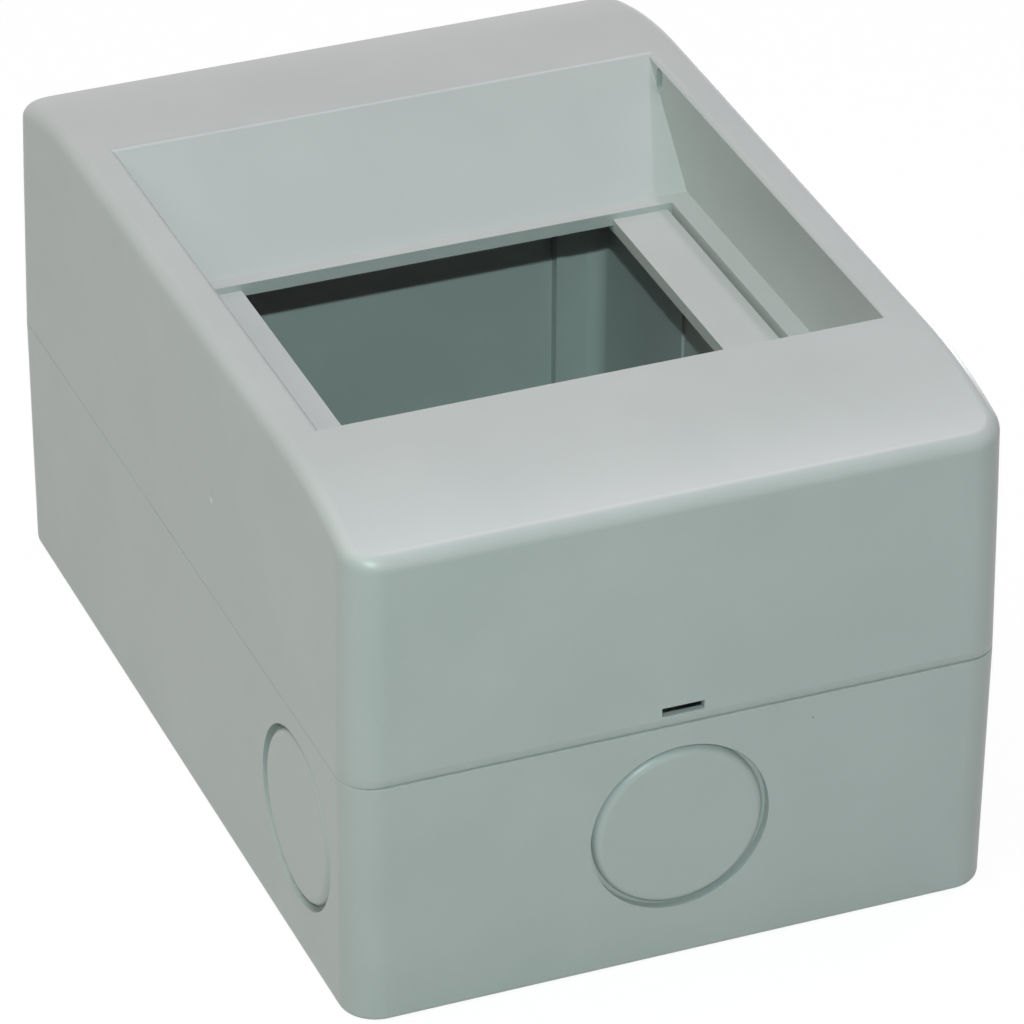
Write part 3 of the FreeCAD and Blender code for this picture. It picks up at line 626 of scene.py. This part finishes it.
wall_in = lean(KNOCKOUT_HEIGHT)
for end in (-1, 1):
    place = (0, end * (HALF_DEPTH - wall_in), KNOCKOUT_HEIGHT)
    cut(base, add_groove_tool("end_groove", place, (0, end, -DRAFT)))
for side in (-1, 1):
    place = (side * (HALF_WIDTH - wall_in), KNOCKOUT_FRONT, KNOCKOUT_HEIGHT)
    cut(base, add_groove_tool("side_groove", place, (side, 0, -DRAFT)))
report(base)

# %% [markdown]
# ### Ribs, rail pads and holes
#
# Upright ribs stiffen the walls beside the knock-outs. They show through the window as thin bright lines. Two
# raised pads carry the rail, with a blind hole in each for its screw, and four holes in the floor take the
# screws that hold the box on the wall.

# %% Ribs, pads and holes of the base
END_RIB_X = 35.25
SIDE_RIB_Y = 33.5
RIB_HALF_WIDTH = 0.6
END_RIB_DEPTH = 2.0
SIDE_RIB_DEPTH = 0.45
RIB_TOP = SEAM - 0.5
SCREW_PITCH = 25.0
PAD_HALF_WIDTH = 5.0
PAD_HALF_DEPTH = 13.5
PAD_TOP = FLOOR + 2.0
PILOT_RADIUS = 1.8
PILOT_LOW = PAD_TOP - 3.9
FIXING_RADIUS = 2.25
FIXING_X = 30.0
FIXING_Y = 50.0


def add_rod(name, radius, low, high, steps=48):
    """Upright round rod between two points, one above the other."""
    bpy.ops.object.select_all(action="DESELECT")
    bpy.ops.mesh.primitive_cylinder_add(
        vertices=steps, radius=radius * MM, depth=(high[2] - low[2]) * MM,
        location=(low[0] * MM, low[1] * MM, (low[2] + high[2]) / 2 * MM))
    rod = bpy.context.object
    rod.name = name
    bpy.ops.object.transform_apply(location=True, rotation=True, scale=True)
    return rod


for side in (-1, 1):
    for end in (-1, 1):
        near, far = sorted((
            end * (HALF_DEPTH - WALL - END_RIB_DEPTH), end * (HALF_DEPTH - WALL / 2 - lean(0))))
        weld(base, add_block(
            "end_rib", (side * END_RIB_X - RIB_HALF_WIDTH, near, FLOOR / 2),
            (side * END_RIB_X + RIB_HALF_WIDTH, far, RIB_TOP)))
        near, far = sorted((
            side * (HALF_WIDTH - WALL - SIDE_RIB_DEPTH), side * (HALF_WIDTH - WALL / 2 - lean(0))))
        weld(base, add_block(
            "side_rib", (near, end * SIDE_RIB_Y - RIB_HALF_WIDTH, FLOOR / 2),
            (far, end * SIDE_RIB_Y + RIB_HALF_WIDTH, RIB_TOP)))
        cut(base, add_rod(
            "fixing", FIXING_RADIUS, (side * FIXING_X, end * FIXING_Y, -SPARE),
            (side * FIXING_X, end * FIXING_Y, FLOOR + SPARE)))
    middle = side * SCREW_PITCH
    weld(base, add_block(
        "rail_pad", (middle - PAD_HALF_WIDTH, -PAD_HALF_DEPTH, FLOOR / 2),
        (middle + PAD_HALF_WIDTH, PAD_HALF_DEPTH, PAD_TOP)))
    cut(base, add_rod("pilot", PILOT_RADIUS, (middle, 0, PILOT_LOW), (middle, 0, PAD_TOP + SPARE), steps=24))
report(base)

# %% [markdown]
# ### Even shading
#
# A mesh is made of flat faces. Smooth shading hides that on the rolled edges, and weighting the normals by
# the size of the faces keeps the large walls flat, so the light turns only where the plastic does.

# %% Shade both shells and seat them on their bodies
SHARP_FROM = 32.0
SHELL_MERGE = 0.002
LARGE_FACES_LEAD = 100


def finish_shading(piece, crease):
    """Smooth the rolled edges, keep the walls flat and leave a crease where a test asks for one."""
    activate(piece)
    bpy.ops.object.mode_set(mode="EDIT")
    bpy.ops.mesh.select_all(action="SELECT")
    bpy.ops.mesh.remove_doubles(threshold=SHELL_MERGE * MM)
    bpy.ops.object.mode_set(mode="OBJECT")
    bpy.ops.object.shade_smooth_by_angle(angle=math.radians(SHARP_FROM))
    if crease:
        pick(piece, "EDGE", crease)
        bpy.ops.mesh.mark_sharp()
        bpy.ops.object.mode_set(mode="OBJECT")
    bpy.ops.object.modifier_add(type="WEIGHTED_NORMAL")
    weight = piece.modifiers[-1]
    weight.keep_sharp = True
    weight.weight = LARGE_FACES_LEAD
    bpy.ops.object.modifier_apply(modifier=weight.name)


def on_slant(point):
    """Upper line of the slanted front edge at the seam."""
    return abs(point.z - SEAM - RELIEF_HEIGHT) < HAIR and point.y < -HALF_DEPTH + CORNER_RADIUS / 2


for shell, node, body, crease in (
    (cover, "front_cover", "cover", on_slant),
    (base, "base_box", "base", None),
):
    finish_shading(shell, crease)
    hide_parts(node)
    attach(shell, body)
    report(shell)

# %% [markdown]
# ## The camera
#
# The picture was taken with a long lens from the front left, looking down on the box. A long lens keeps
# parallel edges nearly parallel, so the focal length matters as much as the angle. The numbers below were
# fitted to the edges of the box on the photograph. The camera aims at the middle of the box at about the
# seam, and the two offsets shift the picture a little, as a photographer who frames by hand does.

# %% Camera at the photograph's viewing angle
VIEW_AZIMUTH = math.radians(-22.144)
VIEW_ELEVATION = math.radians(31.565)
VIEW_ROLL = math.radians(0.434)
VIEW_DISTANCE = 879.9 * MM
AIM_HEIGHT = 35.9 * MM
FRAME_SHIFT_RIGHT = -2.871 * MM
FRAME_SHIFT_UP = 5.273 * MM
FOCAL_LENGTH = 230.95
SENSOR_WIDTH = 36.0
SIGHT_LIMIT = 100.0


def view_axes(azimuth, elevation, roll):
    """Right, up and backward directions of a camera that looks at the object."""
    back = Vector((
        math.sin(azimuth) * math.cos(elevation),
        -math.cos(azimuth) * math.cos(elevation),
        math.sin(elevation),
    ))
    right = Vector((math.cos(azimuth), math.sin(azimuth), 0.0))
    up = back.cross(right)
    return (
        math.cos(roll) * right + math.sin(roll) * up,
        math.cos(roll) * up - math.sin(roll) * right,
        back,
    )


aim = Vector((0.0, 0.0, AIM_HEIGHT))
view_right, view_up, view_back = view_axes(VIEW_AZIMUTH, VIEW_ELEVATION, VIEW_ROLL)
lens_place = aim - FRAME_SHIFT_RIGHT * view_right - FRAME_SHIFT_UP * view_up + VIEW_DISTANCE * view_back

bpy.ops.object.select_all(action="DESELECT")
bpy.ops.object.camera_add(location=lens_place)
camera = bpy.context.object
camera.name = "photo_camera"
lens_turn = Matrix((view_right, view_up, view_back)).transposed().to_4x4()
camera.matrix_world = Matrix.Translation(lens_place) @ lens_turn
camera.data.lens = FOCAL_LENGTH
camera.data.sensor_width = SENSOR_WIDTH
camera.data.clip_end = SIGHT_LIMIT
bpy.context.scene.camera = camera
print("lens at", [round(c, 4) for c in lens_place])

# %% [markdown]
# ## Satin plastic
#
# The shells are moulded in one light grey with a trace of green. Moulded plastic is never one flat colour: it
# has a faint cloudiness, and a fine grain that breaks up reflections. Each of these is a noise of its own
# scale, read from Object coordinates, so that the pattern stays on the piece when it moves. The box has been
# handled. A small dent in the left wall of the cover is painted in as light and shade: a painted highlight on
# its lower side and painted shade on its upper side. A dark speck sits on the front of the base.

# %% Helpers for node materials


def new_material(name):
    """Empty node material with an output and a principled shader."""
    material = bpy.data.materials.new(name)
    material.use_nodes = True
    nodes = material.node_tree.nodes
    nodes.clear()
    output = nodes.new("ShaderNodeOutputMaterial")
    shader = nodes.new("ShaderNodeBsdfPrincipled")
    material.node_tree.links.new(shader.outputs["BSDF"], output.inputs["Surface"])
    return material, shader


def add_noise(material, scale, detail=2.0):
    """Noise on the piece's own coordinates."""
    nodes, links = material.node_tree.nodes, material.node_tree.links
    place = nodes.new("ShaderNodeTexCoord")
    noise = nodes.new("ShaderNodeTexNoise")
    noise.inputs["Scale"].default_value = scale
    noise.inputs["Detail"].default_value = detail
    links.new(place.outputs["Object"], noise.inputs["Vector"])
    return noise.outputs["Fac"]


def add_ramp(material, factor, stops):
    """Colour ramp from (position, colour) stops."""
    nodes, links = material.node_tree.nodes, material.node_tree.links
    ramp = nodes.new("ShaderNodeValToRGB")
    while len(ramp.color_ramp.elements) < len(stops):
        ramp.color_ramp.elements.new(1.0)
    for element, (position, colour) in zip(ramp.color_ramp.elements, stops):
        element.position = position
        element.color = (*colour, 1.0)
    links.new(factor, ramp.inputs["Fac"])
    return ramp.outputs["Color"]


# %% [markdown]
# ### Marks and grain
#
# A mark is a tint near one place. The way from that place is measured along each axis in units of the mark's
# reach, and a ramp turns its length into a soft edge. A Mix node has sockets for numbers, vectors and colours
# under the same names, so the ones for colours are picked by number. The grain only tilts the light: it is a
# bump of a hundredth of a millimetre.

# %% Helpers for marks and grain
MARK_CORE = 0.4
BLEND_FROM, BLEND_TO, BLEND_RESULT = 6, 7, 2


def add_mark(material, colour, place, reach, tint):
    """Tint a colour near one place, fading out at a reach along each axis."""
    nodes, links = material.node_tree.nodes, material.node_tree.links
    away = nodes.new("ShaderNodeTexCoord").outputs["Object"]
    for operation, measure in (("SUBTRACT", place), ("DIVIDE", reach)):
        step = nodes.new("ShaderNodeVectorMath")
        step.operation = operation
        step.inputs[1].default_value = [c * MM for c in measure]
        links.new(away, step.inputs[0])
        away = step.outputs["Vector"]
    length = nodes.new("ShaderNodeVectorMath")
    length.operation = "LENGTH"
    links.new(away, length.inputs[0])
    fade = [(MARK_CORE, (1.0, 1.0, 1.0)), (1.0, (0.0, 0.0, 0.0))]
    inside = add_ramp(material, length.outputs["Value"], fade)
    blend = nodes.new("ShaderNodeMix")
    blend.data_type = "RGBA"
    links.new(inside, blend.inputs["Factor"])
    links.new(colour, blend.inputs[BLEND_FROM])
    blend.inputs[BLEND_TO].default_value = (*tint, 1.0)
    return blend.outputs[BLEND_RESULT]


def add_bump(material, shader, height, strength, distance):
    """Bump from a height."""
    nodes, links = material.node_tree.nodes, material.node_tree.links
    bump = nodes.new("ShaderNodeBump")
    bump.inputs["Strength"].default_value = strength
    bump.inputs["Distance"].default_value = distance
    links.new(height, bump.inputs["Height"])
    links.new(bump.outputs["Normal"], shader.inputs["Normal"])


# %% Grey plastic of both shells
PLASTIC_PALE = (0.452, 0.485, 0.470)
PLASTIC_DEEP = (0.425, 0.460, 0.445)
CLOUD_SCALE = 60.0
PLASTIC_ROUGHNESS = 0.38
PLASTIC_IOR = 1.5
GRAIN_SCALE = 9000.0
GRAIN_STRENGTH = 0.2
GRAIN_HEIGHT = 0.01 * MM
MARKS = {
    # name: (place in mm, reach in mm, colour)
    # The first two marks are painted light on a small dent: painted shade on its upper side, and a painted
    # highlight on its lower side where it catches the light.
    "painted_shade_of_nick": ((-44.84, -15.26, 51.5), (2.0, 0.9, 0.9), (0.405, 0.44, 0.425)),
    "painted_highlight_of_nick": ((-44.85, -15.1, 50.2), (2.0, 0.55, 0.5), (0.67, 0.69, 0.68)),
    "speck": ((18.05, -65.46, 32.5), (0.28, 2.0, 0.22), (0.29, 0.31, 0.30)),
}


def make_plastic():
    """Light grey moulded plastic with a satin grain."""
    material, shader = new_material("satin_grey_plastic")
    cloud = add_noise(material, CLOUD_SCALE, detail=4.0)
    colour = add_ramp(material, cloud, [(0.3, PLASTIC_DEEP), (0.7, PLASTIC_PALE)])
    for place, reach, tint in MARKS.values():
        colour = add_mark(material, colour, place, reach, tint)
    material.node_tree.links.new(colour, shader.inputs["Base Color"])
    shader.inputs["Roughness"].default_value = PLASTIC_ROUGHNESS
    shader.inputs["IOR"].default_value = PLASTIC_IOR
    grain = add_noise(material, GRAIN_SCALE)
    add_bump(material, shader, grain, GRAIN_STRENGTH, GRAIN_HEIGHT)
    return material


plastic = make_plastic()
for shell in (base, cover):
    shell.data.materials.clear()
    shell.data.materials.append(plastic)
print(plastic.name, "has", len(plastic.node_tree.nodes), "nodes, with", sorted(MARKS))

# %% [markdown]
# ## Zinc
#
# The rail and its screws are steel with a plating of zinc, and they show only when one looks straight down or
# lifts the cover off. Such a plating is dull and cloudy, so the shader is a rough metal whose grey a noise
# shifts a little. The frame's own meshes are sharp enough for sheet metal and keep their form.

# %% Zinc of the rail and its screws
ZINC_PALE = (0.53, 0.53, 0.52)
ZINC_DEEP = (0.41, 0.42, 0.43)
ZINC_ROUGHNESS = 0.48
SPANGLE_SCALE = 400.0


def make_zinc():
    """Plated steel with faint cloudy spangle."""
    material, shader = new_material("zinc_plate")
    cloud = add_noise(material, SPANGLE_SCALE, detail=3.0)
    colour = add_ramp(material, cloud, [(0.35, ZINC_DEEP), (0.65, ZINC_PALE)])
    material.node_tree.links.new(colour, shader.inputs["Base Color"])
    shader.inputs["Metallic"].default_value = 1.0
    shader.inputs["Roughness"].default_value = ZINC_ROUGHNESS
    return material


zinc = make_zinc()
for name in ("din_rail", "rail_screw_left", "rail_screw_right"):
    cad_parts[name].data.materials.clear()
    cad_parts[name].data.materials.append(zinc)
    print(zinc.name, "on", name)

# %% [markdown]
# ## The light
#
# Five lamps stand in for the room of the photograph. A small flash just above the lens lights the front and
# reaches the inside through the window. Its shadow is the black band below the window's far edge. A small
# ceiling lamp, a little to the right, lays a thin shadow on the right side of the recess. Two large soft
# panels fill the rest: one straight above, and one high on the left, a little warm. A weak low fill lifts the
# foot of the front, as a table would. The strengths were found by lighting the model with each lamp alone and
# mixing the results until every face had the brightness it has on the photograph. A sixth lamp stands low
# behind the box. It lights the two walls that the photograph doesn't show, and it is too low to reach the
# top.

# %% Flash, ceiling lamp, soft panels and fills
LAMPS = {
    # name: (azimuth, elevation, distance in m, diameter in m, watts, colour)
    "ceiling_lamp": (110.0, 68.3, 1.2, 0.06, 2.50, (1.0, 0.80, 0.88)),
    "top_panel": (0.0, 89.9, 1.0, 1.0, 3.55, (0.92, 0.77, 1.0)),
    "left_panel": (-90.0, 60.0, 1.0, 1.0, 4.25, (1.0, 0.96, 0.80)),
    "front_fill": (10.0, 8.0, 1.0, 0.6, 0.50, (1.0, 0.82, 0.65)),
    "back_fill": (135.0, -2.75, 0.55, 0.015, 1.20, (0.92, 1.0, 0.97)),
}
FLASH_ABOVE_LENS = 57.0 * MM
FLASH_SIZE = 8.0 * MM
FLASH_POWER = 3.60
FLASH_COLOUR = (0.76, 1.0, 0.97)


def add_area_light(name, place, target, size, power, colour):
    """Round area light that faces a target."""
    bpy.ops.object.select_all(action="DESELECT")
    bpy.ops.object.light_add(type="AREA", location=place)
    light = bpy.context.object
    light.name = name
    light.rotation_euler = (Vector(target) - Vector(place)).to_track_quat("-Z", "Y").to_euler()
    light.data.shape = "DISK"
    light.data.size = size
    light.data.energy = power
    light.data.color = colour


flash_place = lens_place + FLASH_ABOVE_LENS * view_up
add_area_light("flash", flash_place, aim, FLASH_SIZE, FLASH_POWER, FLASH_COLOUR)
for name, (azimuth, elevation, distance, size, power, colour) in LAMPS.items():
    towards = view_axes(math.radians(azimuth), math.radians(elevation), 0.0)[2]
    add_area_light(name, aim + distance * towards, aim, size, power, colour)
    print(name, "at azimuth", azimuth, "and elevation", elevation)

# %% [markdown]
# ### White surroundings
#
# On the photograph the box stands on plain white. Floor and world are white to rays that come straight from the
# camera, and to rays that a glossy or clear surface sends on, so the satin plastic mirrors a white room at flat
# angles. All other rays find an unlit room and a grey floor, so this white adds no light of its own. A share
# of the floor stays an ordinary surface for the camera too, and there the box keeps its soft shadow.

# %% Floor
FLOOR_SPAN = 6.0
SHADOW_SHARE = 0.15
FLOOR_GREY = (0.56, 0.60)
FIBRE_SCALE = 300.0
SHEET_ROUGHNESS = 0.9
SHEET_GLOW = 1.09


def add_shown(tree):
    """One for rays that show the surroundings, from the camera or by way of a glossy or clear surface."""
    path = tree.nodes.new("ShaderNodeLightPath")
    shown = path.outputs["Is Camera Ray"]
    for kind in ("Is Glossy Ray", "Is Transmission Ray"):
        either = tree.nodes.new("ShaderNodeMath")
        either.operation = "MAXIMUM"
        tree.links.new(shown, either.inputs[0])
        tree.links.new(path.outputs[kind], either.inputs[1])
        shown = either.outputs[0]
    return shown


def make_white_floor():
    """White sheet: mostly pure white where it shows, with a share that takes the shadow."""
    material, shader = new_material("white_sheet")
    tree = material.node_tree
    fibre = add_noise(material, FIBRE_SCALE)
    grey = [(position, (level, level, level)) for position, level in zip((0.3, 0.7), FLOOR_GREY)]
    tree.links.new(add_ramp(material, fibre, grey), shader.inputs["Base Color"])
    shader.inputs["Roughness"].default_value = SHEET_ROUGHNESS
    shader.inputs["Specular IOR Level"].default_value = 0.0
    glow = tree.nodes.new("ShaderNodeEmission")
    glow.inputs["Strength"].default_value = SHEET_GLOW
    share = tree.nodes.new("ShaderNodeMath")
    share.operation = "MULTIPLY"
    share.inputs[1].default_value = 1.0 - SHADOW_SHARE
    tree.links.new(add_shown(tree), share.inputs[0])
    mix = tree.nodes.new("ShaderNodeMixShader")
    tree.links.new(share.outputs[0], mix.inputs["Fac"])
    tree.links.new(shader.outputs["BSDF"], mix.inputs[1])
    tree.links.new(glow.outputs["Emission"], mix.inputs[2])
    output = next(node for node in tree.nodes if node.type == "OUTPUT_MATERIAL")
    tree.links.new(mix.outputs["Shader"], output.inputs["Surface"])
    return material


bpy.ops.object.select_all(action="DESELECT")
bpy.ops.mesh.primitive_plane_add(size=FLOOR_SPAN, location=(0.0, 0.0, 0.0))
floor = bpy.context.object
floor.name = "floor"
floor.data.materials.append(make_white_floor())
print("floor", FLOOR_SPAN, "m wide, shadow share", SHADOW_SHARE)

# %% [markdown]
# ### The room
#
# The world is the same switch between two backgrounds: white for the rays that show it, unlit for all others.
# The Standard view transform then shows the colours as they are, with no film look laid over them.

# %% White room
world = bpy.data.worlds.new("white_room")
bpy.context.scene.world = world
world.use_nodes = True
room = world.node_tree
room.nodes.clear()
room_output = room.nodes.new("ShaderNodeOutputWorld")
unlit = room.nodes.new("ShaderNodeBackground")
unlit.inputs["Strength"].default_value = 0.0
white = room.nodes.new("ShaderNodeBackground")
white.inputs["Color"].default_value = (1.0, 1.0, 1.0, 1.0)
white.inputs["Strength"].default_value = 1.0
choice = room.nodes.new("ShaderNodeMixShader")
room.links.new(add_shown(room), choice.inputs["Fac"])
room.links.new(unlit.outputs["Background"], choice.inputs[1])
room.links.new(white.outputs["Background"], choice.inputs[2])
room.links.new(choice.outputs["Shader"], room_output.inputs["Surface"])

bpy.context.scene.view_settings.view_transform = "Standard"
print("room", world.name, "with", len(room.nodes), "nodes")
